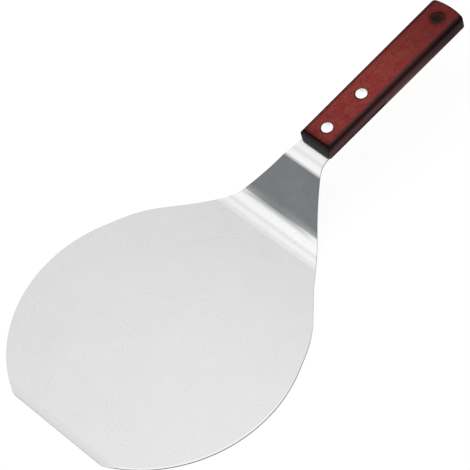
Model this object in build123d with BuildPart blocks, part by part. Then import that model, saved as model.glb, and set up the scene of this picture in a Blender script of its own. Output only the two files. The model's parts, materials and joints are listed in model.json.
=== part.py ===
from build123d import *
from math import cos, radians, sin, sqrt, tan
import os

# Cake lifter: a round sheet-steel blade, cranked up into a tang that is riveted in a wooden handle.
# Millimetres. The origin is the centre of the blade's disc, on its underside.
# +X runs from the disc to the handle, +Y is to its left and +Z is up.

# Blade disc, with its straight ground tip
disc_diameter = 204.0
sheet_thickness = 1.0
tip_width = 85.1
tip_corner_radius = 7.0
bevel_width = 4.8
bevel_edge_thickness = 0.4
sheet_edge_chamfer = 0.15

# Crank between the blade and the tang, measured on the underside: it rises, bends over a crest,
# and eases down a short neck into the tang
rim_to_lower_bend = 13.5
lower_bend_radius = 24.0
riser_length = 48.6
riser_angle = 46.0
crest_bend_radius = 10.0
easing_length = 7.15
easing_angle = 27.0
easing_curve_share = 0.95
shoulder_length = 6.45

# Neck outline: where it leaves the disc, and points of its curve along and across the neck
neck_start_share = 0.403
neck_point_shares = [(0.2, 0.85), (0.4, 0.588), (0.6, 0.343), (0.75, 0.17), (0.9, 0.03)]

# Tang, which rises a little towards the butt and lies in the handle's kerf
tang_angle = 3.8
tang_length = 54.0
tang_end_radius = 4.0
tang_side_gap = 0.05

# Handle bar, with the kerf nearer to its underside
handle_length = 139.1
handle_front_width = 26.7
handle_butt_width = 27.8
wood_above_kerf = 8.5
wood_below_kerf = 2.0
upper_edge_radius = 2.6
lower_edge_radius = 1.3
front_corner_radius = 1.1
butt_corner_radius = 3.2
butt_arc_radius = 49.0
kerf_face_gap = 0.05
kerf_end_gap = 0.5

# Hanging hole, with a wide and shallow chamfer at both mouths
hanging_hole_diameter = 7.4
hanging_hole_from_butt = 13.7
hole_mouth_width = 1.6
hole_mouth_depth = 0.5

# Two-part rivets: a sleeve from above and a stud from below
front_rivet_from_front = 13.6
rear_rivet_from_tang_end = 5.9
rivet_head_diameter = 8.2
rivet_head_thickness = 1.2
rivet_head_dome = 0.25
rivet_sleeve_diameter = 5.0
rivet_stud_diameter = 3.0
rivet_blind_wall = 1.6
rivet_hole_gap = 0.05
rivet_press_gap = 0.01
rivet_end_gap = 0.4

# Overrun of every cut past the surface that it opens
overrun = 5.0


# Sizes that follow from the ones above
disc_radius = disc_diameter / 2
tip_distance = sqrt(disc_radius**2 - (tip_width / 2) ** 2)
kerf_height = sheet_thickness + 2 * kerf_face_gap
kerf_length = tang_length + kerf_end_gap
tang_half_width = handle_front_width / 2 - tang_side_gap
handle_thickness = wood_above_kerf + kerf_height + wood_below_kerf
underside_height = wood_above_kerf - handle_thickness
rivet_places = {"front": front_rivet_from_front, "rear": tang_length - rear_rivet_from_tang_end}
rivet_points = [(place, 0) for place in rivet_places.values()]
head_radius = rivet_head_diameter / 2
dome_radius = (head_radius**2 + rivet_head_dome**2) / (2 * rivet_head_dome)
crest_tangent = crest_bend_radius * tan(radians((riser_angle - easing_angle) / 2))
easing_tangent = easing_curve_share * (easing_length - crest_tangent)
easing_bend_radius = easing_tangent / tan(radians((easing_angle - tang_angle) / 2))


def slope(angle):
    """The direction in the side elevation that rises by this angle from +X."""
    return Vector(cos(radians(angle)), sin(radians(angle)))


# Underside of the sheet in the side elevation, as (X, Z): the corners of its bends and the tang
lower_corner = Vector(disc_radius + rim_to_lower_bend, 0)
crest_corner = lower_corner + slope(riser_angle) * riser_length
easing_corner = crest_corner + slope(easing_angle) * easing_length
tang_start = easing_corner + slope(tang_angle) * shoulder_length
tang_end = tang_start + slope(tang_angle) * tang_length

# Handle frame: x along the handle and z square to its faces, from the kerf's roof at the front
kerf_roof = tang_start + slope(tang_angle + 90) * (sheet_thickness + kerf_face_gap)
handle_plane = Plane(
    origin=(kerf_roof.X, 0, kerf_roof.Y),
    x_dir=(cos(radians(tang_angle)), 0, sin(radians(tang_angle))),
    z_dir=(-sin(radians(tang_angle)), 0, cos(radians(tang_angle))),
)
handle_elevation = Plane(handle_plane.origin, x_dir=handle_plane.x_dir, z_dir=(0, -1, 0))
up_from_handle = Axis(handle_plane.origin, handle_plane.z_dir)


# Blade: the side elevation of the bent sheet, pulled wide and trimmed by the plan outline
with BuildPart() as blade:
    with BuildSketch(Plane.XZ):
        with BuildLine():
            FilletPolyline(
                (-disc_radius - overrun, 0),
                lower_corner,
                crest_corner,
                easing_corner,
                tang_end + slope(tang_angle) * overrun,
                radius=[lower_bend_radius, crest_bend_radius, easing_bend_radius],
            )
            offset(amount=sheet_thickness, side=Side.LEFT)
        make_face()
    extrude(amount=disc_radius + overrun, both=True)

    # Plan outline: straight tip, disc, reverse-curved neck and parallel tang
    neck_start = Vector(neck_start_share, sqrt(1 - neck_start_share**2)) * disc_radius
    neck_end = Vector(tang_start.X, tang_half_width)
    neck_points = [
        Vector(
            neck_start.X + (neck_end.X - neck_start.X) * along_share,
            neck_end.Y + (neck_start.Y - neck_end.Y) * across_share,
        )
        for along_share, across_share in neck_point_shares
    ]
    with BuildSketch(Plane.XY.offset(-overrun)):
        with BuildLine():
            Line((-tip_distance, 0), (-tip_distance, tip_width / 2))
            ThreePointArc((-tip_distance, tip_width / 2), (0, disc_radius), neck_start)
            Spline(
                neck_start,
                *neck_points,
                neck_end,
                tangents=[(neck_start.Y, -neck_start.X), (1, 0)],
            )
            Polyline(neck_end, (tang_end.X, tang_half_width), (tang_end.X, 0))
            mirror(about=Plane.XZ)
        make_face()
        fillet(vertices().group_by(Axis.X)[0], radius=tip_corner_radius)
        fillet(vertices().group_by(Axis.X)[-1], radius=tang_end_radius)
    extrude(amount=tang_end.Y + sheet_thickness + 2 * overrun, mode=Mode.INTERSECT)

    # Deburred rim, everywhere but at the tip and the tang's end
    cross_edges = edges().filter_by(Axis.Y)
    wall_edges = edges().filter_by(Axis.Z)
    rim_edges = [edge for edge in edges() if edge not in cross_edges + wall_edges]
    chamfer(rim_edges, length=sheet_edge_chamfer)

    # Bevel ground on the upper face along the tip
    bevel_fall = overrun * (sheet_thickness - bevel_edge_thickness) / bevel_width
    with BuildSketch(Plane.XZ):
        with BuildLine():
            Polyline(
                (-tip_distance - overrun, bevel_edge_thickness - bevel_fall),
                (-tip_distance + bevel_width, sheet_thickness),
                (-tip_distance + bevel_width, sheet_thickness + overrun),
                (-tip_distance - overrun, sheet_thickness + overrun),
                close=True,
            )
        make_face()
    extrude(amount=disc_radius, both=True, mode=Mode.SUBTRACT)

    # Rivet holes through the tang
    with BuildSketch(handle_plane):
        with Locations(rivet_points):
            Circle(rivet_sleeve_diameter / 2 + rivet_hole_gap)
    extrude(amount=kerf_height + sheet_thickness, both=True, mode=Mode.SUBTRACT)

blade.part.label = "blade"


# Handle: a tapered bar with a convex butt and rounded edges
with BuildPart() as handle:
    butt_half_width = handle_butt_width / 2
    butt_bulge = butt_arc_radius - sqrt(butt_arc_radius**2 - butt_half_width**2)
    butt_end = handle_length - butt_bulge
    with BuildSketch(handle_plane.offset(underside_height)):
        with BuildLine():
            Polyline((0, 0), (0, handle_front_width / 2), (butt_end, butt_half_width))
            ThreePointArc((butt_end, butt_half_width), (handle_length, 0), (butt_end, -butt_half_width))
            Polyline((butt_end, -butt_half_width), (0, -handle_front_width / 2), (0, 0))
        make_face()
        fillet(vertices().group_by(Axis.X)[0], radius=front_corner_radius)
        fillet(vertices().group_by(Axis.X)[-1], radius=butt_corner_radius)
    extrude(amount=handle_thickness)
    fillet(faces().sort_by(up_from_handle)[-1].edges(), radius=upper_edge_radius)
    fillet(faces().sort_by(up_from_handle)[0].edges(), radius=lower_edge_radius)

    # Hanging hole
    with BuildSketch(handle_plane):
        with Locations((handle_length - hanging_hole_from_butt, 0)):
            Circle(hanging_hole_diameter / 2)
    extrude(amount=handle_thickness, both=True, mode=Mode.SUBTRACT)
    mouth_edges = edges(Select.LAST).filter_by(GeomType.CIRCLE).sort_by(up_from_handle)
    for end in (0, -1):
        face = faces().sort_by(up_from_handle)[end]
        chamfer(mouth_edges[end], length=hole_mouth_width, length2=hole_mouth_depth, reference=face)

    # Saw kerf for the tang, open at the front and at both sides
    with BuildSketch(handle_elevation):
        with BuildLine():
            Polyline(
                (-overrun, 0),
                (kerf_length, 0),
                (kerf_length, -kerf_height),
                (-overrun, -kerf_height),
                close=True,
            )
        make_face()
    extrude(amount=handle_butt_width, both=True, mode=Mode.SUBTRACT)

    # Rivet holes, with a seat for each head so that its rim lies flush
    seat_radius = head_radius + rivet_hole_gap
    with BuildSketch(handle_plane):
        with Locations(rivet_points):
            Circle(rivet_sleeve_diameter / 2 + rivet_hole_gap)
    extrude(amount=handle_thickness, both=True, mode=Mode.SUBTRACT)
    with BuildSketch(handle_plane.offset(wood_above_kerf - rivet_head_thickness)):
        with Locations(rivet_points):
            Circle(seat_radius)
    extrude(amount=overrun, mode=Mode.SUBTRACT)
    with BuildSketch(handle_plane.offset(underside_height + rivet_head_thickness)):
        with Locations(rivet_points):
            Circle(seat_radius)
    extrude(amount=-overrun, mode=Mode.SUBTRACT)

handle.part.label = "handle"


def rivet_section(place, height):
    """The half-section plane of a rivet: x out from its axis, y up from a height of the handle frame."""
    origin = handle_plane.from_local_coords((place, 0, height))
    return Plane(origin, x_dir=handle_plane.x_dir, z_dir=(0, -1, 0))


def rivet_sleeve(place):
    """The upper half of a rivet: a domed head on a blind tube through the wood and the tang."""
    section = rivet_section(place, wood_above_kerf)
    tube_radius = rivet_sleeve_diameter / 2
    bore_radius = rivet_stud_diameter / 2 + rivet_press_gap
    tube_end = rivet_head_thickness + rivet_end_gap - handle_thickness
    with BuildPart() as sleeve:
        with BuildSketch(section):
            with BuildLine():
                Line((0, -rivet_blind_wall), (0, rivet_head_dome))
                RadiusArc((0, rivet_head_dome), (head_radius, 0), dome_radius)
                Polyline(
                    (head_radius, 0),
                    (head_radius, -rivet_head_thickness),
                    (tube_radius, -rivet_head_thickness),
                    (tube_radius, tube_end),
                    (bore_radius, tube_end),
                    (bore_radius, -rivet_blind_wall),
                    (0, -rivet_blind_wall),
                )
            make_face()
        revolve(axis=Axis(section.origin, section.y_dir))
    return sleeve.part


def rivet_stud(place):
    """The lower half of a rivet: a domed head on a pin that is pressed up into the sleeve."""
    section = rivet_section(place, underside_height)
    pin_radius = rivet_stud_diameter / 2
    pin_end = handle_thickness - rivet_blind_wall - rivet_end_gap
    with BuildPart() as stud:
        with BuildSketch(section):
            with BuildLine():
                Line((0, pin_end), (0, -rivet_head_dome))
                RadiusArc((0, -rivet_head_dome), (head_radius, 0), -dome_radius)
                Polyline(
                    (head_radius, 0),
                    (head_radius, rivet_head_thickness),
                    (pin_radius, rivet_head_thickness),
                    (pin_radius, pin_end),
                    (0, pin_end),
                )
            make_face()
        revolve(axis=Axis(section.origin, section.y_dir))
    return stud.part


pieces = [blade.part, handle.part]
for position, place in rivet_places.items():
    sleeve_part = rivet_sleeve(place)
    sleeve_part.label = f"{position}_rivet_sleeve"
    stud_part = rivet_stud(place)
    stud_part.label = f"{position}_rivet_stud"
    pieces += [sleeve_part, stud_part]

os.makedirs("parts", exist_ok=True)
for piece in pieces:
    export_step(piece, f"parts/{piece.label}.step")
    print(piece.label, "volume", round(piece.volume), "valid", piece.is_valid)
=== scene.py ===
"""Cake lifter with a cranked round blade and a riveted wooden bar handle: its finishes, studio and camera."""
import json
import math

import bpy
from bpy.props import FloatProperty, FloatVectorProperty, PointerProperty
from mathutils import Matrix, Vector


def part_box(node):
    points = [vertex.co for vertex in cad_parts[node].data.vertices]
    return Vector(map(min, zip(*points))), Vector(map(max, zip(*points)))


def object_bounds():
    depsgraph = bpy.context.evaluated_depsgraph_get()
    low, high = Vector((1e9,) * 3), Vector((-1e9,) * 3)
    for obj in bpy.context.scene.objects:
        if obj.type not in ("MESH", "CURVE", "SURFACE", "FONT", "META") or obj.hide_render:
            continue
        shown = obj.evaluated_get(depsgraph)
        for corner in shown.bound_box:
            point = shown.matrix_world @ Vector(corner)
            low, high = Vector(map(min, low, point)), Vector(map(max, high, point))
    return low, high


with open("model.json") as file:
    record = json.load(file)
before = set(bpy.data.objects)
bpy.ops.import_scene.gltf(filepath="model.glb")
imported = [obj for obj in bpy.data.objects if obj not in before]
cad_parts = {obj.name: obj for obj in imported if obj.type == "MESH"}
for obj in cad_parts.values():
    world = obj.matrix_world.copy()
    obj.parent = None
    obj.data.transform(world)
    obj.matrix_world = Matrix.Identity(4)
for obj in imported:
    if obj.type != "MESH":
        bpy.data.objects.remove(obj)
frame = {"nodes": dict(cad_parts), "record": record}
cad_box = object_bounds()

bl_info = {
    "name": "Cake lifter",
    "version": (1, 0, 0),
    "blender": (4, 5, 0),
    "location": "View3D > Sidebar > Cake lifter",
    "description": "Finishes a cake lifter's steel blade, wooden handle and rivets, and sets its studio",
    "category": "Object",
}

MM = 0.001
RIVETS = ("front_rivet", "rear_rivet")
# The slope of the riser, which is the straight part of the sheet between its two bends.
RISER_SLOPE = math.radians(46)
# Each place where the sanding pad was set down in turn: its shift, and its size as a share of the pad's.
SANDED_PLACES = (
    ((0.0, 0.0, 0.0), 1.0),
    ((0.37, 0.61, 0.0), 0.8),
    ((0.83, 0.19, 0.0), 1.4),
    ((0.55, 0.43, 0.0), 2.0),
    ((0.21, 0.87, 0.0), 1.2),
    ((0.69, 0.73, 0.0), 1.7),
)
# The level of the light across the studio, from the left panel to the right one, by the direction's X.
PANEL_LEVELS = (
    (-0.52, 1.05), (-0.43, 1.105), (-0.32, 0.985), (-0.20, 0.785), (-0.10, 0.915), (0.0, 0.98),
    (0.10, 0.94), (0.17, 0.86), (0.235, 0.80), (0.285, 0.925), (0.335, 0.685), (0.60, 0.52),
)
# Nearly all of a noise's values lie in this range.
NOISE_RANGE = {"From Min": 0.3, "From Max": 0.7}


def linear(hex_colour):
    """The linear red, green and blue of an sRGB hex colour."""
    parts = [int(hex_colour[i : i + 2], 16) / 255 for i in (1, 3, 5)]
    return tuple(c / 12.92 if c <= 0.04045 else ((c + 0.055) / 1.055) ** 2.4 for c in parts)


def add(tree, kind, inputs=None, **settings):
    """Adds a node to the tree. Each input is set to its value, or linked where that is another node's output."""
    made = tree.nodes.new(kind)
    for name, value in settings.items():
        setattr(made, name, value)
    for name, value in (inputs or {}).items():
        if isinstance(value, bpy.types.NodeSocket):
            tree.links.new(value, made.inputs[name])
        else:
            made.inputs[name].default_value = value
    return made


def reach_from(tree, at, middle):
    """How far a place is from the upright line through the middle."""
    away = add(tree, "ShaderNodeVectorMath", {0: at, 1: tuple(middle)}, operation="SUBTRACT")
    level = add(tree, "ShaderNodeVectorMath", {0: away.outputs[0], 1: (1.0, 1.0, 0.0)}, operation="MULTIPLY")
    return add(tree, "ShaderNodeVectorMath", {0: level.outputs[0]}, operation="LENGTH").outputs["Value"]


def distance_off(tree, value, line):
    """How far a value is from a line's, to either side."""
    off = add(tree, "ShaderNodeMath", {0: value, 1: line}, operation="SUBTRACT")
    return add(tree, "ShaderNodeMath", {0: off.outputs[0]}, operation="ABSOLUTE").outputs[0]


def colour(value):
    """A colour of three parts with its alpha."""
    return (*value, 1.0)


def new_finish(name):
    """An empty material of that name, and its node tree."""
    finish = bpy.data.materials.new(name)
    finish.use_nodes = True
    finish.node_tree.nodes.clear()
    return finish, finish.node_tree


def give(finish, *node_names):
    """Puts the finish on each of these pieces."""
    for name in node_names:
        for piece_slot in frame["nodes"][name].material_slots:
            piece_slot.material = finish


# ---------------------------------------------------------------- where the handle lies
hole = next(m for m in frame["record"]["mounts"] if m["name"] == "hanging_hole")
hole_place = Vector(hole["pos_m"])
hole_radius = hole["dims"]["r_mm"] * MM
handle_up = Vector(hole["axis"]).normalized()
handle_along = Vector((handle_up.z, 0.0, -handle_up.x))
handle_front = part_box("handle")[0].x
# What a Mapping node needs to see a place from the hanging hole: along the handle, across it and up from it.
SEEN_FROM_HOLE = {"Location": hole_place, "Rotation": (0.0, -math.atan2(-handle_up.x, handle_up.z), 0.0)}


def on_handle(point):
    """A point as seen from the hanging hole: along the handle, across it and up from it."""
    away = Vector(point) - hole_place
    return Vector((away.dot(handle_along), away.y, away.dot(handle_up)))


def rivet_centre(rivet):
    """The middle of a rivet, as seen from the hanging hole."""
    low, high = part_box(rivet + "_sleeve")
    return on_handle((Vector(low) + Vector(high)) / 2)


class BladeFinish(bpy.types.PropertyGroup):
    """Colours and sizes of the blade's satin steel."""

    steel_colour: FloatVectorProperty(
        name="Steel colour", description="Colour that the sheet reflects",
        subtype="COLOR", size=3, min=0, max=1, default=linear("#D6D6D6"),
    )
    # The rim colour is the blanked edge's duller steel, made darker still by painted shade.
    rim_and_shade_colour: FloatVectorProperty(
        name="Rim colour", description="Colour of the blanked rim of the sheet",
        subtype="COLOR", size=3, min=0, max=1, default=linear("#62676A"),
    )
    stroke_width: FloatProperty(
        name="Stroke width", description="Width of the sanding strokes",
        unit="LENGTH", min=0.0002, default=1.7 * MM,
    )
    pad_size: FloatProperty(
        name="Pad size", description="Width of the sanding pad's patches",
        unit="LENGTH", min=0.005, default=46 * MM,
    )
    haze_size: FloatProperty(
        name="Haze size", description="Width of the cloudy patches in the satin",
        unit="LENGTH", min=0.005, default=40 * MM,
    )
    bevel_width: FloatProperty(
        name="Bevel width", description="Width of the ground band along the tip",
        unit="LENGTH", min=0.0005, default=4.8 * MM,
    )


class HandleFinish(bpy.types.PropertyGroup):
    """Colours and sizes of the handle's stained wood."""

    face_colour: FloatVectorProperty(
        name="Face colour", description="Red-brown of the broad faces",
        subtype="COLOR", size=3, min=0, max=1, default=linear("#933E38"),
    )
    crimson_colour: FloatVectorProperty(
        name="Crimson colour", description="Redder patches of the stain",
        subtype="COLOR", size=3, min=0, max=1, default=linear("#8F3236"),
    )
    tan_colour: FloatVectorProperty(
        name="Tan colour", description="Browner patches of the stain",
        subtype="COLOR", size=3, min=0, max=1, default=linear("#954835"),
    )
    # The painted sheen on the rounded long edges, as a greyer brown.
    edge_sheen_colour: FloatVectorProperty(
        name="Rubbed colour", description="Greyer brown along the rubbed long edges",
        subtype="COLOR", size=3, min=0, max=1, default=linear("#7F4D4B"),
    )
    side_colour: FloatVectorProperty(
        name="Side colour", description="Purplish brown of the sides",
        subtype="COLOR", size=3, min=0, max=1, default=linear("#613D3F"),
    )
    end_colour: FloatVectorProperty(
        name="End colour", description="Near-black of the end grain",
        subtype="COLOR", size=3, min=0, max=1, default=linear("#2D2C2E"),
    )
    bore_colour: FloatVectorProperty(
        name="Bore colour", description="Brown of the hanging hole's wall",
        subtype="COLOR", size=3, min=0, max=1, default=linear("#4E392D"),
    )
    patch_size: FloatProperty(
        name="Patch size", description="Width of the stain's patches",
        unit="LENGTH", min=0.001, default=5 * MM,
    )
    grain_width: FloatProperty(
        name="Grain width", description="Width of the grain's lines",
        unit="LENGTH", min=0.0001, default=0.8 * MM,
    )
    veneer_thickness: FloatProperty(
        name="Veneer thickness", description="Thickness of the glued layers on the sides",
        unit="LENGTH", min=0.0002, default=1.1 * MM,
    )


class RivetFinish(bpy.types.PropertyGroup):
    """Colours and sizes of the polished rivet heads."""

    polish_colour: FloatVectorProperty(
        name="Polish colour", description="Colour that the rivet heads reflect",
        subtype="COLOR", size=3, min=0, max=1, default=linear("#FAFCFC"),
    )
    punch_colour: FloatVectorProperty(
        name="Punch colour", description="Colour of the middle that the setting punch has dulled",
        subtype="COLOR", size=3, min=0, max=1, default=linear("#ECF8F9"),
    )
    ring_diameter: FloatProperty(
        name="Ring diameter", description="Diameter of the punch's ring on a head",
        unit="LENGTH", min=0.0005, default=4.6 * MM,
    )


class StudioStage(bpy.types.PropertyGroup):
    """The studio's floor, light and camera."""

    floor_colour: FloatVectorProperty(
        name="Floor colour", description="Colour of the floor and its upturned edge",
        subtype="COLOR", size=3, min=0, max=1, default=linear("#F4F4F3"),
    )
    floor_radius: FloatProperty(
        name="Floor radius", description="Reach of the floor round the lifter",
        unit="LENGTH", min=1, default=6.0,
    )
    overhead_level: FloatProperty(
        name="Overhead level", description="Brightness of the light from above", min=0, default=1.41
    )
    horizon_colour: FloatVectorProperty(
        name="Horizon colour", description="Colour of the studio's dim low walls",
        subtype="COLOR", size=3, min=0, max=1, default=linear("#6A7173"),
    )
    camera_place: FloatVectorProperty(
        name="Camera place", description="Where the camera stands",
        subtype="TRANSLATION", unit="LENGTH", size=3, default=(-0.48324, -0.84822, 1.43257),
    )
    camera_turn: FloatVectorProperty(
        name="Camera turn", description="How the camera is turned", subtype="EULER", unit="ROTATION", size=3,
        default=tuple(math.radians(a) for a in (35.0784, 8.4423, -45.452)),
    )
    camera_lens: FloatProperty(
        name="Camera lens", description="Focal length in millimetres",
        subtype="DISTANCE_CAMERA", unit="CAMERA", min=20, default=199.15,
    )


class LIFTER_OT_finish_blade(bpy.types.Operator):
    """Gives the blade its satin steel"""

    bl_idname = "lifter.finish_blade"
    bl_label = "Finish the blade"

    def execute(self, context):
        look = context.scene.lifter_blade
        # Cold-rolled stainless sheet, sanded with a small round pad. The eye sees a pale even satin with faint
        # crossing strokes and clouds, a duller ground band along the tip with painted shade along its edge and
        # start, a dark rim where it was blanked, with painted shade on it that is darkest on the tang's edges
        # inside the handle, and a painted highlight inside the disc's right rim.
        finish, tree = new_finish("satin_stainless_sheet")
        place = add(tree, "ShaderNodeTexCoord")
        at = place.outputs["Object"]
        split = add(tree, "ShaderNodeSeparateXYZ", {0: at})
        facing = add(tree, "ShaderNodeSeparateXYZ", {0: place.outputs["Normal"]})

        # Strokes and clouds change the tone of the sheet by a few hundredths.
        strokes = self.sand_sheet(tree, at, look)
        haze = add(
            tree, "ShaderNodeTexNoise",
            {"Vector": at, "Scale": 1 / look.haze_size, "Detail": 5.0, "Roughness": 0.72},
        )
        cloud = add(
            tree, "ShaderNodeMapRange",
            {"Value": haze.outputs["Fac"], **NOISE_RANGE, "To Min": 0.97, "To Max": 1.03},
        )
        tone = add(
            tree, "ShaderNodeMath", {0: strokes, 1: 0.17, 2: cloud.outputs[0]}, operation="MULTIPLY_ADD"
        )
        ground, tone = self.grind_and_shade_tip(tree, split, facing, tone.outputs[0], look)
        tone = self.paint_rim_highlight(tree, at, split, tone)
        sheet = add(
            tree, "ShaderNodeVectorMath", {0: tuple(look.steel_colour), "Scale": tone}, operation="SCALE"
        )

        # The rim's walls stand upright, so their normal lies level.
        upright = add(tree, "ShaderNodeMath", {0: facing.outputs["Z"]}, operation="ABSOLUTE")
        rim = add(
            tree, "ShaderNodeMapRange",
            {"Value": upright.outputs[0], "From Min": 0.15, "From Max": 0.45, "To Min": 1.0, "To Max": 0.0},
            interpolation_type="SMOOTHSTEP",
        )
        # Painted shade of the handle's slot: inside the handle the tang's edges are darkened to a fifth.
        stained = add(
            tree, "ShaderNodeMapRange",
            {
                "Value": split.outputs["X"],
                "From Min": handle_front, "From Max": handle_front + 1 * MM,
                "To Min": 1.0, "To Max": 0.2,
            },
        )
        # The rim's walls take the rim colour, which carries painted shade, and darker painted shade inside the
        # handle.
        edge = add(
            tree, "ShaderNodeVectorMath",
            {0: tuple(look.rim_and_shade_colour), "Scale": stained.outputs[0]}, operation="SCALE",
        )
        steel = add(
            tree, "ShaderNodeMix", {0: rim.outputs[0], 6: sheet.outputs[0], 7: edge.outputs[0]},
            data_type="RGBA",
        )

        # The satin is a little rougher in its clouds and strokes, and much rougher where it was ground or blanked.
        satin = add(
            tree, "ShaderNodeMapRange",
            {"Value": haze.outputs["Fac"], **NOISE_RANGE, "To Min": 0.18, "To Max": 0.21},
        )
        sanded = add(
            tree, "ShaderNodeMath", {0: strokes, 1: 0.03, 2: satin.outputs[0]}, operation="MULTIPLY_ADD"
        )
        coarse = add(tree, "ShaderNodeMath", {0: rim.outputs[0], 1: ground}, operation="MAXIMUM")
        roughness = add(
            tree, "ShaderNodeMath", {0: coarse.outputs[0], 1: 0.15, 2: sanded.outputs[0]},
            operation="MULTIPLY_ADD",
        )
        grooves = add(
            tree, "ShaderNodeBump",
            {
                "Strength": 0.05, "Distance": 0.01 * MM, "Height": strokes,
                "Normal": self.soften_bend(tree, place.outputs["Normal"], split, facing),
            },
        )
        shader = add(
            tree, "ShaderNodeBsdfPrincipled",
            {
                "Base Color": steel.outputs[2],
                "Metallic": 1.0,
                "Roughness": roughness.outputs[0],
                "Normal": grooves.outputs[0],
            },
        )
        add(tree, "ShaderNodeOutputMaterial", {"Surface": shader.outputs[0]})
        give(finish, "blade")
        return {"FINISHED"}

    def sand_sheet(self, tree, at, look):
        """Strokes of the round sanding pad: broken rings about the middle of each place where it was set down."""
        # The rings fade out before the next place's rings start. Real ones are about 0.1 mm apart. These are drawn
        # coarser, because the render can't show finer ones.
        worn_spot = 5 * MM
        strokes = 0.0
        for shift, pad_share in SANDED_PLACES:
            shifted = add(tree, "ShaderNodeMapping", {"Vector": at, "Location": shift}, vector_type="POINT")
            size = look.pad_size * pad_share
            pads = {"Vector": shifted.outputs[0], "Scale": 1 / size, "Randomness": 0.8}
            pad = add(tree, "ShaderNodeTexVoronoi", pads, voronoi_dimensions="2D", feature="F1")
            border = add(
                tree, "ShaderNodeTexVoronoi", pads, voronoi_dimensions="2D", feature="DISTANCE_TO_EDGE"
            )
            turns = add(
                tree, "ShaderNodeMath", {0: pad.outputs["Distance"], 1: size / look.stroke_width},
                operation="MULTIPLY",
            )
            ring = add(
                tree, "ShaderNodeTexNoise",
                {"W": turns.outputs[0], "Scale": 1.0, "Detail": 2.0, "Roughness": 0.6}, noise_dimensions="1D",
            )
            worn = add(
                tree, "ShaderNodeTexNoise",
                {
                    "Vector": shifted.outputs[0],
                    "Scale": 1 / worn_spot, "Detail": 3.0, "Roughness": 0.6, "Distortion": 0.8,
                },
            )
            seen = add(
                tree, "ShaderNodeMapRange", {"Value": worn.outputs["Fac"], "From Min": 0.5, "From Max": 0.68},
                interpolation_type="SMOOTHSTEP",
            )
            inside = add(
                tree, "ShaderNodeMapRange",
                {"Value": border.outputs["Distance"], "From Min": 0.02, "From Max": 0.16},
                interpolation_type="SMOOTHSTEP",
            )
            shown = add(
                tree, "ShaderNodeMath", {0: seen.outputs[0], 1: inside.outputs[0]}, operation="MULTIPLY"
            )
            lift = add(tree, "ShaderNodeMath", {0: ring.outputs["Fac"], 1: 0.5}, operation="SUBTRACT")
            strokes = add(
                tree, "ShaderNodeMath", {0: lift.outputs[0], 1: shown.outputs[0], 2: strokes},
                operation="MULTIPLY_ADD",
            ).outputs[0]
        return strokes

    def grind_and_shade_tip(self, tree, split, facing, tone, look):
        """The share of the ground band, which slopes down to the tip, and the sheet's tone with that band and its
        painted shade.
        """
        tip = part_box("blade")[0].x
        band_start = tip + look.bevel_width
        sloped = add(
            tree, "ShaderNodeMapRange", {"Value": facing.outputs["X"], "From Min": -0.04, "From Max": -0.1}
        )
        at_tip = add(
            tree, "ShaderNodeMapRange",
            {
                "Value": split.outputs["X"],
                "From Min": tip + 1.4 * look.bevel_width, "From Max": tip + 1.2 * look.bevel_width,
            },
        )
        ground = add(
            tree, "ShaderNodeMath", {0: sloped.outputs[0], 1: at_tip.outputs[0]}, operation="MULTIPLY"
        )
        # The band is dimmer towards the tip, partly as its duller ground finish and partly as painted shade. The
        # painted shade is darkest along the edge, and a faint line of painted shade marks where the band starts.
        edge_shade_width, shade_line_half_width = 1.2 * MM, 1.0 * MM
        band = add(
            tree, "ShaderNodeMapRange",
            {"Value": split.outputs["X"], "From Min": tip, "From Max": band_start, "To Min": 0.91, "To Max": 1.0},
        )
        edge = add(
            tree, "ShaderNodeMapRange",
            {
                "Value": split.outputs["X"],
                "From Min": tip, "From Max": tip + edge_shade_width,
                "To Min": 0.86, "To Max": 1.0,
            },
        )
        honed_and_shaded = add(tree, "ShaderNodeMath", {0: band.outputs[0], 1: edge.outputs[0]}, operation="MULTIPLY")
        dim = add(tree, "ShaderNodeMix", {0: ground.outputs[0], 2: 1.0, 3: honed_and_shaded.outputs[0]})
        # A faint line of painted shade where the band starts.
        start_shade_line = add(
            tree, "ShaderNodeMapRange",
            {
                "Value": distance_off(tree, split.outputs["X"], band_start),
                "From Min": 0.0, "From Max": shade_line_half_width,
                "To Min": 0.96, "To Max": 1.0,
            },
            interpolation_type="SMOOTHSTEP",
        )
        for share in (dim, start_shade_line):
            tone = add(tree, "ShaderNodeMath", {0: tone, 1: share.outputs[0]}, operation="MULTIPLY").outputs[0]
        return ground.outputs[0], tone

    def paint_rim_highlight(self, tree, at, split, tone):
        """The tone with a painted highlight: a fine bright line inside the rim, where the disc's deburred edge
        catches the light.
        """
        disc_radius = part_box("blade")[1].y
        inset, half_width = 0.9 * MM, 0.7 * MM
        line = add(
            tree, "ShaderNodeMapRange",
            {
                "Value": distance_off(tree, reach_from(tree, at, (0.0, 0.0, 0.0)), disc_radius - inset),
                "From Min": 0.0, "From Max": half_width,
                "To Min": 0.22, "To Max": 0.0,
            },
            interpolation_type="SMOOTHSTEP",
        )
        # The painted highlight runs along the disc's right side, and ends before the outline turns off towards the
        # neck.
        right = add(
            tree, "ShaderNodeMapRange",
            {"Value": split.outputs["Y"], "From Min": -25 * MM, "From Max": -75 * MM},
            interpolation_type="SMOOTHSTEP",
        )
        off_neck = add(
            tree, "ShaderNodeMapRange", {"Value": split.outputs["X"], "From Min": 42 * MM, "From Max": 8 * MM},
            interpolation_type="SMOOTHSTEP",
        )
        line = add(
            tree, "ShaderNodeMath", {0: line.outputs[0], 1: off_neck.outputs[0]}, operation="MULTIPLY"
        )
        bright = add(
            tree, "ShaderNodeMath", {0: line.outputs[0], 1: right.outputs[0], 2: 1.0}, operation="MULTIPLY_ADD"
        )
        return add(tree, "ShaderNodeMath", {0: tone, 1: bright.outputs[0]}, operation="MULTIPLY").outputs[0]

    def soften_bend(self, tree, normal, split, facing):
        """The normal of a sheet that comes out of its lower bend softly, and later near its edges."""
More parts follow.
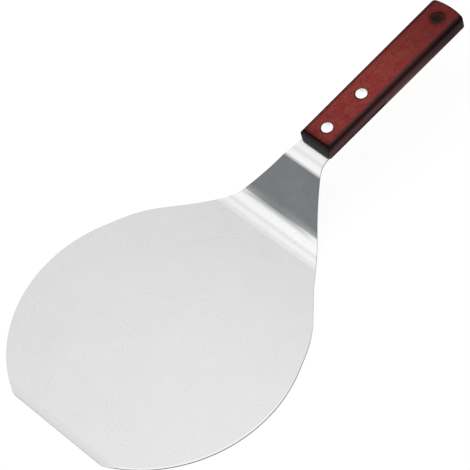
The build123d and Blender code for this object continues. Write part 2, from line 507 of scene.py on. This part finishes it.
        # That is less than 0.2 mm high, so it is drawn as a lean of the normal back towards the bend. The bend
        # ends at X = 121.9 mm on the upper side, and the lean comes and goes there.
        starts, full, eases, gone = (x * MM for x in (120.9, 123.0, 122.2, 128.2))
        middle, half_width = 4 * MM, 30 * MM
        later_at_edges = 1.5 * MM
        least_lean, more_at_edges = math.radians(1.7), math.radians(2.4)
        off_middle = add(
            tree, "ShaderNodeMapRange",
            {"Value": split.outputs["Y"], "From Min": middle, "From Max": middle + half_width}, clamp=False,
        )
        bow = add(
            tree, "ShaderNodeMath", {0: off_middle.outputs[0], 1: off_middle.outputs[0]}, operation="MULTIPLY"
        )
        bowed = add(
            tree, "ShaderNodeMath", {0: bow.outputs[0], 1: later_at_edges, 2: split.outputs["X"]},
            operation="MULTIPLY_ADD",
        )
        begun = add(
            tree, "ShaderNodeMapRange", {"Value": bowed.outputs[0], "From Min": starts, "From Max": full},
            interpolation_type="SMOOTHSTEP",
        )
        ending = add(
            tree, "ShaderNodeMapRange",
            {"Value": bowed.outputs[0], "From Min": eases, "From Max": gone, "To Min": 1.0, "To Max": 0.0},
            interpolation_type="SMOOTHSTEP",
        )
        upward = add(
            tree, "ShaderNodeMath", {0: facing.outputs["Z"], 1: 1 / math.cos(RISER_SLOPE)}, operation="MULTIPLY"
        )
        lean = add(
            tree, "ShaderNodeMath", {0: bow.outputs[0], 1: more_at_edges, 2: least_lean}, operation="MULTIPLY_ADD"
        )
        for share in (begun, ending, upward):
            lean = add(tree, "ShaderNodeMath", {0: lean.outputs[0], 1: share.outputs[0]}, operation="MULTIPLY")
        up_riser = (math.cos(RISER_SLOPE), 0.0, math.sin(RISER_SLOPE))
        back = add(tree, "ShaderNodeVectorMath", {0: up_riser, "Scale": lean.outputs[0]}, operation="SCALE")
        leant = add(tree, "ShaderNodeVectorMath", {0: normal, 1: back.outputs[0]}, operation="ADD")
        return add(tree, "ShaderNodeVectorMath", {0: leant.outputs[0]}, operation="NORMALIZE").outputs[0]


class LIFTER_OT_finish_handle(bpy.types.Operator):
    """Gives the handle its stained laminated wood"""

    bl_idname = "lifter.finish_handle"
    bl_label = "Finish the handle"

    def execute(self, context):
        look = context.scene.lifter_handle
        # Resin-bonded laminated hardwood, stained and buffed. The eye sees a mottled red-brown face that darkens
        # towards its long edges and, as painted shade, towards the butt, with a painted sheen along the long
        # edges, near-black rounded edges, and fine glue lines on the sides, which carry painted shade and
        # reflection.
        finish, tree = new_finish("stained_laminated_hardwood")
        place = add(tree, "ShaderNodeTexCoord")
        at = add(
            tree, "ShaderNodeMapping", {"Vector": place.outputs["Object"], **SEEN_FROM_HOLE},
            vector_type="TEXTURE",
        ).outputs[0]
        split = add(tree, "ShaderNodeSeparateXYZ", {0: at})
        front = on_handle((handle_front, 0, hole_place.z)).x

        patches = add(
            tree, "ShaderNodeTexNoise",
            {"Vector": at, "Scale": 1 / look.patch_size, "Detail": 5.0, "Roughness": 0.7, "Distortion": 0.6},
        )
        # Grain: lines along the handle, drawn twice as wide as real pores so that they show.
        stretched = add(
            tree, "ShaderNodeMapping", {"Vector": at, "Scale": (0.12, 1.0, 1.0)}, vector_type="POINT"
        )
        grain = add(
            tree, "ShaderNodeTexNoise",
            {"Vector": stretched.outputs[0], "Scale": 1 / look.grain_width, "Detail": 3.0, "Roughness": 0.6},
        )
        # The glued layers lie flat, so they show as long lines on the sides.
        layers = add(
            tree, "ShaderNodeMapping", {"Vector": at, "Scale": (0.02, 0.15, 1.0)}, vector_type="POINT"
        )
        veneer = add(
            tree, "ShaderNodeTexNoise",
            {"Vector": layers.outputs[0], "Scale": 1 / look.veneer_thickness, "Detail": 2.0, "Roughness": 0.5},
        )
        board = self.stain_shade_and_sheen_face(tree, at, split, front, patches, grain, look)
        side = self.stain_and_shade_side(tree, split, front, veneer, look)

        # How squarely the surface faces the blade tells the end grain, and how squarely it faces up or down from
        # the handle tells the broad faces.
        ahead = add(
            tree, "ShaderNodeVectorMath", {0: place.outputs["Normal"], 1: tuple(-handle_along)},
            operation="DOT_PRODUCT",
        )
        end = add(
            tree, "ShaderNodeMapRange", {"Value": ahead.outputs["Value"], "From Min": 0.35, "From Max": 0.7},
            interpolation_type="SMOOTHSTEP",
        )
        edge = add(
            tree, "ShaderNodeMix", {0: end.outputs[0], 6: side, 7: colour(look.end_colour)}, data_type="RGBA"
        )
        upward = add(
            tree, "ShaderNodeVectorMath", {0: place.outputs["Normal"], 1: tuple(handle_up)},
            operation="DOT_PRODUCT",
        )
        square = add(tree, "ShaderNodeMath", {0: upward.outputs["Value"]}, operation="ABSOLUTE")
        uneven = add(
            tree, "ShaderNodeMath", {0: patches.outputs["Fac"], 1: 0.05, 2: square.outputs[0]},
            operation="MULTIPLY_ADD",
        )
        face = add(
            tree, "ShaderNodeMapRange", {"Value": uneven.outputs[0], "From Min": 0.83, "From Max": 1.01},
            interpolation_type="SMOOTHSTEP",
        )
        wood = add(
            tree, "ShaderNodeMix", {0: face.outputs[0], 6: edge.outputs[2], 7: board}, data_type="RGBA"
        )

        buffed = add(
            tree, "ShaderNodeMapRange",
            {"Value": grain.outputs["Fac"], **NOISE_RANGE, "To Min": 0.55, "To Max": 0.42},
        )
        relief = add(
            tree, "ShaderNodeMath", {0: veneer.outputs["Fac"], 1: 0.6, 2: grain.outputs["Fac"]},
            operation="MULTIPLY_ADD",
        )
        pores = add(
            tree, "ShaderNodeBump", {"Strength": 0.25, "Distance": 0.06 * MM, "Height": relief.outputs[0]}
        )
        shader = add(
            tree, "ShaderNodeBsdfPrincipled",
            {
                "Base Color": self.ring_rivets_and_shade_hole(tree, at, wood.outputs[2], look),
                "Roughness": buffed.outputs[0],
                "IOR": 1.45,
                "Specular IOR Level": 0.05,
                "Normal": pores.outputs[0],
            },
        )
        add(tree, "ShaderNodeOutputMaterial", {"Surface": shader.outputs[0]})
        give(finish, "handle")
        return {"FINISHED"}

    def stain_shade_and_sheen_face(self, tree, at, split, front, patches, grain, look):
        """The colour of the broad faces: red-brown with browner and redder patches, a painted sheen along the long
        edges, and darker in places, partly as deeper stain and partly as painted shade.
        """
        redness = add(
            tree, "ShaderNodeTexNoise",
            {
                "Vector": at,
                "Scale": 1 / (1.7 * look.patch_size), "Detail": 3.0, "Roughness": 0.6, "Distortion": 0.3,
            },
        )
        tan_share = add(
            tree, "ShaderNodeMapRange",
            {"Value": patches.outputs["Fac"], "From Min": 0.45, "From Max": 0.68, "To Min": 0.0, "To Max": 0.75},
            interpolation_type="SMOOTHSTEP",
        )
        redder = add(
            tree, "ShaderNodeMapRange",
            {"Value": redness.outputs["Fac"], "From Min": 0.45, "From Max": 0.65, "To Min": 0.0, "To Max": 0.8},
            interpolation_type="SMOOTHSTEP",
        )
        redder_by_butt = add(
            tree, "ShaderNodeMapRange",
            {
                "Value": split.outputs["X"],
                "From Min": front + 80 * MM, "From Max": front + 125 * MM,
                "To Min": 0.0, "To Max": 0.6,
            },
            interpolation_type="SMOOTHSTEP",
        )
        crimson_share = add(
            tree, "ShaderNodeMath", {0: redder.outputs[0], 1: redder_by_butt.outputs[0]}, operation="MAXIMUM"
        )
        # A painted sheen turns the long edges a greyer brown, the right one more than the left.
        sheen_middle = 0.8 * MM
        edge_sheen_share = add(
            tree, "ShaderNodeMapRange",
            {
                "Value": distance_off(tree, split.outputs["Y"], sheen_middle),
                "From Min": 9.4 * MM, "From Max": 11.4 * MM,
                "To Min": 0.0, "To Max": 0.8,
            },
            interpolation_type="SMOOTHSTEP",
        )
        stain = colour(look.face_colour)
        for share, stain_colour in (
            (tan_share, look.tan_colour),
            (crimson_share, look.crimson_colour),
            (edge_sheen_share, look.edge_sheen_colour),
        ):
            stain = add(
                tree, "ShaderNodeMix", {0: share.outputs[0], 6: stain, 7: colour(stain_colour)}, data_type="RGBA"
            ).outputs[2]

        # The stain is black along the front and deeper in the grain. The face is also darker over its first 30 mm
        # and near the long edges, the left one more, and painted shade darkens it towards the butt.
        speck = add(
            tree, "ShaderNodeTexNoise",
            {"Vector": at, "Scale": 1 / (1.3 * look.grain_width), "Detail": 2.0, "Roughness": 0.6},
        )
        along, across = split.outputs["X"], split.outputs["Y"]
        stain_and_shade_depth = 1.0
        for value, start, stop, level_at_start, level_at_stop in (
            (along, front + 2.2 * MM, front + 3.8 * MM, 0.1, 1.0),
            (along, front + 2.5 * MM, front + 8.5 * MM, 0.55, 1.0),
            (along, front, front + 30 * MM, 0.86, 1.0),
            (along, front + 65 * MM, front + 125 * MM, 1.0, 0.66),
            (across, 9.0 * MM, 13.0 * MM, 1.0, 0.15),
            (across, -8.2 * MM, -12.0 * MM, 1.0, 0.28),
            (grain.outputs["Fac"], *NOISE_RANGE.values(), 0.84, 1.16),
            (speck.outputs["Fac"], *NOISE_RANGE.values(), 0.84, 1.16),
        ):
            share = add(
                tree, "ShaderNodeMapRange",
                {
                    "Value": value,
                    "From Min": start, "From Max": stop,
                    "To Min": level_at_start, "To Max": level_at_stop,
                },
                interpolation_type="SMOOTHSTEP",
            )
            stain_and_shade_depth = add(tree, "ShaderNodeMath", {0: share.outputs[0], 1: stain_and_shade_depth}, operation="MULTIPLY").outputs[0]
        return add(tree, "ShaderNodeVectorMath", {0: stain, "Scale": stain_and_shade_depth}, operation="SCALE").outputs[0]

    def stain_and_shade_side(self, tree, split, front, veneer, look):
        """The colour of the sides, with fine glue lines. Painted shade makes them darkest under the upper edge,
        towards the butt and on the thin wood below the tang, and a painted reflection makes them lighter towards
        the bottom.
        """
        # Painted shade under the upper edge, which gives way to a lighter painted reflection towards the bottom.
        under = add(
            tree, "ShaderNodeMapRange",
            {
                "Value": split.outputs["Z"],
                "From Min": 4.5 * MM, "From Max": -4.5 * MM,
                "To Min": 0.25, "To Max": 1.75,
            },
        )
        streak = add(
            tree, "ShaderNodeMapRange",
            {"Value": veneer.outputs["Fac"], **NOISE_RANGE, "To Min": 0.7, "To Max": 1.35},
        )
        # Painted shade towards the butt.
        butt_shade = add(
            tree, "ShaderNodeMapRange",
            {
                "Value": split.outputs["X"],
                "From Min": -42 * MM, "From Max": -2 * MM,
                "To Min": 1.0, "To Max": 0.3,
            },
            interpolation_type="SMOOTHSTEP",
        )
        # Painted shade: the thin wood below the tang is nearly black where the tang runs.
        low_cheek_shade = add(
            tree, "ShaderNodeMapRange",
            {
                "Value": split.outputs["Z"],
                "From Min": -1.0 * MM, "From Max": -2.6 * MM,
                "To Min": 0.0, "To Max": 0.8,
            },
            interpolation_type="SMOOTHSTEP",
        )
        by_tang = add(
            tree, "ShaderNodeMapRange",
            {
                "Value": split.outputs["X"],
                "From Min": front + 52 * MM, "From Max": front + 60 * MM,
                "To Min": 1.0, "To Max": 0.0,
            },
            interpolation_type="SMOOTHSTEP",
        )
        cheek_shade = add(
            tree, "ShaderNodeMath", {0: low_cheek_shade.outputs[0], 1: by_tang.outputs[0]}, operation="MULTIPLY"
        )
        off_cheek_shade = add(tree, "ShaderNodeMath", {0: 1.0, 1: cheek_shade.outputs[0]}, operation="SUBTRACT")
        shade = under
        for share in (streak, butt_shade, off_cheek_shade):
            shade = add(
                tree, "ShaderNodeMath", {0: shade.outputs[0], 1: share.outputs[0]}, operation="MULTIPLY"
            )
        return add(
            tree, "ShaderNodeVectorMath", {0: tuple(look.side_colour), "Scale": shade.outputs[0]},
            operation="SCALE",
        ).outputs[0]

    def ring_rivets_and_shade_hole(self, tree, at, wood, look):
        """The wood's colour with a dark line round each rivet head, painted shade in the hanging hole's chamfered
        rim, and the wall of the hanging hole.
        """
        # The line round each rivet head is dirt in the seam and painted shade of the gap. The hanging hole gets a
        # wider, softer ring of painted shade in its chamfered rim, which lies a little off the hole's middle.
        hole_shade_middle = (0.6 * MM, 0.3 * MM, 0.0)
        ring_and_shade_share = 1.0
        for middle, inner, outer, level_inside in (
            *((rivet_centre(rivet), 4.5 * MM, 5.0 * MM, 0.1) for rivet in RIVETS),
            (hole_shade_middle, hole_radius + 0.7 * MM, hole_radius + 1.8 * MM, 0.4),
            (hole_shade_middle, hole_radius + 1.2 * MM, hole_radius + 4.6 * MM, 0.6),
        ):
            ring = add(
                tree, "ShaderNodeMapRange",
                {
                    "Value": reach_from(tree, at, middle),
                    "From Min": inner, "From Max": outer,
                    "To Min": level_inside, "To Max": 1.0,
                },
                interpolation_type="SMOOTHSTEP",
            )
            ring_and_shade_share = add(tree, "ShaderNodeMath", {0: ring.outputs[0], 1: ring_and_shade_share}, operation="MULTIPLY").outputs[0]
        # The wood with the rivet lines and the painted shade in the hole's rim.
        polished = add(tree, "ShaderNodeVectorMath", {0: wood, "Scale": ring_and_shade_share}, operation="SCALE")
        bore = add(
            tree, "ShaderNodeMapRange",
            {
                "Value": reach_from(tree, at, (0.0, 0.0, 0.0)),
                "From Min": hole_radius + 0.1 * MM, "From Max": hole_radius + 0.6 * MM,
                "To Min": 1.0, "To Max": 0.0,
            },
        )
        return add(
            tree, "ShaderNodeMix", {0: bore.outputs[0], 6: polished.outputs[0], 7: colour(look.bore_colour)},
            data_type="RGBA",
        ).outputs[2]


class LIFTER_OT_finish_rivets(bpy.types.Operator):
    """Gives the rivets their polish"""

    bl_idname = "lifter.finish_rivets"
    bl_label = "Finish the rivets"

    def execute(self, context):
        look = context.scene.lifter_rivets
        # Real turning marks are about 0.1 mm apart. These are drawn coarser, so that they show.
        turning_step = 0.5 * MM
        smudge_size = 2.5 * MM
        for rivet in RIVETS:
            # Nickel-bright steel, turned and polished. The eye sees a near-white disc with the faint ring
            # that the setting punch left, and fine turning marks about the middle.
            finish, tree = new_finish(rivet + "_polished_steel")
            place = add(tree, "ShaderNodeTexCoord")
            at = add(
                tree, "ShaderNodeMapping", {"Vector": place.outputs["Object"], **SEEN_FROM_HOLE},
                vector_type="TEXTURE",
            ).outputs[0]
            reach = reach_from(tree, at, rivet_centre(rivet))
            off_ring = add(
                tree, "ShaderNodeMath", {0: reach, 1: look.ring_diameter / 2}, operation="SUBTRACT"
            )
            near_ring = add(tree, "ShaderNodeMath", {0: off_ring.outputs[0]}, operation="ABSOLUTE")
            ring = add(
                tree, "ShaderNodeMapRange",
                {
                    "Value": near_ring.outputs[0],
                    "From Min": 0.0, "From Max": 0.35 * MM,
                    "To Min": 1.0, "To Max": 0.0,
                },
                interpolation_type="SMOOTHSTEP",
            )
            punched = add(
                tree, "ShaderNodeMapRange",
                {
                    "Value": off_ring.outputs[0],
                    "From Min": -0.8 * MM, "From Max": 0.2 * MM,
                    "To Min": 1.0, "To Max": 0.0,
                },
                interpolation_type="SMOOTHSTEP",
            )
            tint = add(
                tree, "ShaderNodeMix",
                {0: punched.outputs[0], 6: colour(look.polish_colour), 7: colour(look.punch_colour)},
                data_type="RGBA",
            )
            smudge = add(tree, "ShaderNodeTexNoise", {"Vector": at, "Scale": 1 / smudge_size, "Detail": 3.0})
            polish = add(
                tree, "ShaderNodeMapRange",
                {"Value": smudge.outputs["Fac"], **NOISE_RANGE, "To Min": 0.1, "To Max": 0.2},
            )
            turned = add(
                tree, "ShaderNodeMath", {0: reach, 1: 2 * math.pi / turning_step}, operation="MULTIPLY"
            )
            marks = add(tree, "ShaderNodeMath", {0: turned.outputs[0]}, operation="SINE")
            relief = add(
                tree, "ShaderNodeMath", {0: ring.outputs[0], 1: -1.5, 2: marks.outputs[0]},
                operation="MULTIPLY_ADD",
            )
            grooves = add(
                tree, "ShaderNodeBump", {"Strength": 0.1, "Distance": 0.01 * MM, "Height": relief.outputs[0]}
            )
            shader = add(
                tree, "ShaderNodeBsdfPrincipled",
                {
                    "Base Color": tint.outputs[2],
                    "Metallic": 1.0,
                    "Roughness": polish.outputs[0],
                    "Normal": grooves.outputs[0],
                },
            )
            add(tree, "ShaderNodeOutputMaterial", {"Surface": shader.outputs[0]})
            give(finish, rivet + "_sleeve", rivet + "_stud")
        return {"FINISHED"}


class LIFTER_OT_set_stage(bpy.types.Operator):
    """Lays the floor, lights the studio and stands the camera"""

    bl_idname = "lifter.set_stage"
    bl_label = "Set the stage"

    def execute(self, context):
        stage = context.scene.lifter_stage
        self.lay_floor(context, stage)
        self.light_studio(context, stage)
        self.stand_camera(context, stage)
        context.scene.view_settings.view_transform = "Standard"
        return {"FINISHED"}

    def lay_floor(self, context, stage):
        """A round pale floor whose far edge curves up into a low wall."""
        gap_below = 0.2 * MM
        low = cad_box[0].z - gap_below
        sweep = stage.floor_radius / 6
        sweep_start = stage.floor_radius - sweep
        sweep_steps = 8
        profile = [(radius, 0.0) for radius in (0.02, 0.3, 1.0, sweep_start)]
        for step in range(1, sweep_steps + 1):
            turn = math.radians(90 * step / sweep_steps)
            profile.append((sweep_start + sweep * math.sin(turn), sweep * (1 - math.cos(turn))))
        sides = 96
        points = [
            (r * math.cos(2 * math.pi * i / sides), r * math.sin(2 * math.pi * i / sides), low + h)
            for r, h in profile
            for i in range(sides)
        ]
        faces = []
        for inner in range(0, (len(profile) - 1) * sides, sides):
            outer = inner + sides
            for i in range(sides):
                after = (i + 1) % sides
                faces.append((outer + i, outer + after, inner + after, inner + i))
        faces.append(tuple(range(sides)))
        mesh = bpy.data.meshes.new("studio_floor")
        mesh.from_pydata(points, [], faces)
        mesh.shade_smooth()
        floor = bpy.data.objects.new("studio_floor", mesh)
        context.scene.collection.objects.link(floor)

        # Matt white card. The eye sees plain white, with only a faint soft shadow under the lifter: the card
        # shows the shadow, and the plain white over most of it makes up for the card's grey.
        white_share, white_level = 0.85, 1.07
        finish, tree = new_finish("matt_white_card")
        path = add(tree, "ShaderNodeLightPath")
        seen = path.outputs["Is Camera Ray"]
        for ray in ("Is Glossy Ray", "Is Transmission Ray"):
            seen = add(tree, "ShaderNodeMath", {0: seen, 1: path.outputs[ray]}, operation="MAXIMUM").outputs[0]
        share = add(tree, "ShaderNodeMath", {0: seen, 1: white_share}, operation="MULTIPLY")
        card = add(tree, "ShaderNodeBsdfDiffuse", {"Color": colour(stage.floor_colour)})
        white = add(tree, "ShaderNodeEmission", {"Color": colour(linear("#FFFFFF")), "Strength": white_level})
        mixed = add(
            tree, "ShaderNodeMixShader", {0: share.outputs[0], 1: card.outputs[0], 2: white.outputs[0]}
        )
        add(tree, "ShaderNodeOutputMaterial", {"Surface": mixed.outputs[0]})
        mesh.materials.append(finish)

    def light_studio(self, context, stage):
        """Soft light from two broad overhead panels with a narrow gap between them, in a dim studio."""
        world = bpy.data.worlds.new("studio")
        world.use_nodes = True
        tree = world.node_tree
        tree.nodes.clear()
        place = add(tree, "ShaderNodeTexCoord")
        split = add(tree, "ShaderNodeSeparateXYZ", {0: place.outputs["Generated"]})
        across = add(tree, "ShaderNodeMapRange", {"Value": split.outputs["X"], "From Min": -1.0, "From Max": 1.0})
        panels = add(tree, "ShaderNodeValToRGB", {"Fac": across.outputs[0]})
        panels.color_ramp.interpolation = "CARDINAL"
        stops = panels.color_ramp.elements
        while len(stops) < len(PANEL_LEVELS):
            stops.new(0.5)
        for stop, (direction, level) in zip(stops, PANEL_LEVELS):
            stop.position = (direction + 1) / 2
            stop.color = (level, level, level, 1.0)
        # The panels are dimmer towards the far side, and straight above, which keeps the sheet grey when it is
        # seen from the top.
        far = add(
            tree, "ShaderNodeMapRange",
            {"Value": split.outputs["Y"], "From Min": 0.45, "From Max": 0.56, "To Min": 1.07, "To Max": 0.84},
            interpolation_type="SMOOTHSTEP",
        )
        top = add(
            tree, "ShaderNodeMapRange",
            {"Value": split.outputs["Z"], "From Min": 0.9, "From Max": 0.97, "To Min": 1.0, "To Max": 0.76},
            interpolation_type="SMOOTHSTEP",
        )
        level = add(tree, "ShaderNodeMath", {0: far.outputs[0], 1: stage.overhead_level}, operation="MULTIPLY")
        level = add(tree, "ShaderNodeMath", {0: level.outputs[0], 1: top.outputs[0]}, operation="MULTIPLY")
        light = add(
            tree, "ShaderNodeVectorMath", {0: panels.outputs["Color"], "Scale": level.outputs[0]},
            operation="SCALE",
        )
        # Below the panels come the dim walls, and the side where the camera stands is the dimmest.
        rise = add(
            tree, "ShaderNodeMapRange", {"Value": split.outputs["Z"], "From Min": 0.3, "From Max": 0.63},
            interpolation_type="SMOOTHSTEP",
        )
        sky = add(
            tree, "ShaderNodeMix",
            {0: rise.outputs[0], 6: colour(stage.horizon_colour), 7: light.outputs[0]}, data_type="RGBA",
        )
        near = add(
            tree, "ShaderNodeMapRange",
            {"Value": split.outputs["Y"], "From Min": -0.7, "From Max": 0.1, "To Min": 0.35, "To Max": 1.0},
            interpolation_type="SMOOTHSTEP",
        )
        shine = add(tree, "ShaderNodeBackground", {"Color": sky.outputs[2], "Strength": near.outputs[0]})
        add(tree, "ShaderNodeOutputWorld", {"Surface": shine.outputs[0]})
        context.scene.world = world

    def stand_camera(self, context, stage):
        """The camera stands where the photograph was taken from."""
        lens = bpy.data.cameras.new("camera")
        lens.lens = stage.camera_lens
        lens.sensor_width = 36
        lens.clip_end = 20
        camera = bpy.data.objects.new("camera", lens)
        camera.location = stage.camera_place
        camera.rotation_euler = stage.camera_turn
        context.scene.collection.objects.link(camera)
        context.scene.camera = camera


class LIFTER_PT_panel(bpy.types.Panel):
    """Lists the lifter's finishes and its stage"""

    bl_label = "Cake lifter"
    bl_space_type = "VIEW_3D"
    bl_region_type = "UI"
    bl_category = "Cake lifter"

    def draw(self, context):
        for group, operator in (
            ("lifter_blade", "lifter.finish_blade"),
            ("lifter_handle", "lifter.finish_handle"),
            ("lifter_rivets", "lifter.finish_rivets"),
            ("lifter_stage", "lifter.set_stage"),
        ):
            box = self.layout.box()
            values = getattr(context.scene, group)
            for name in values.bl_rna.properties.keys():
                if name not in ("rna_type", "name"):
                    box.prop(values, name)
            box.operator(operator)


GROUPS = {
    "lifter_blade": BladeFinish,
    "lifter_handle": HandleFinish,
    "lifter_rivets": RivetFinish,
    "lifter_stage": StudioStage,
}
CLASSES = (
    *GROUPS.values(),
    LIFTER_OT_finish_blade,
    LIFTER_OT_finish_handle,
    LIFTER_OT_finish_rivets,
    LIFTER_OT_set_stage,
    LIFTER_PT_panel,
)


def register():
    """Registers the classes, and hangs each group of settings on the scene."""
    for made in CLASSES:
        bpy.utils.register_class(made)
    for name, group in GROUPS.items():
        setattr(bpy.types.Scene, name, PointerProperty(type=group))


def unregister():
    """Takes the settings and the classes away again."""
    for name in GROUPS:
        delattr(bpy.types.Scene, name)
    for made in reversed(CLASSES):
        bpy.utils.unregister_class(made)


def main():
    """Dresses the lifter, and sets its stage."""
    register()
    bpy.ops.lifter.set_stage()
    bpy.ops.lifter.finish_blade()
    bpy.ops.lifter.finish_handle()
    bpy.ops.lifter.finish_rivets()


if __name__ == "__main__":
    main()
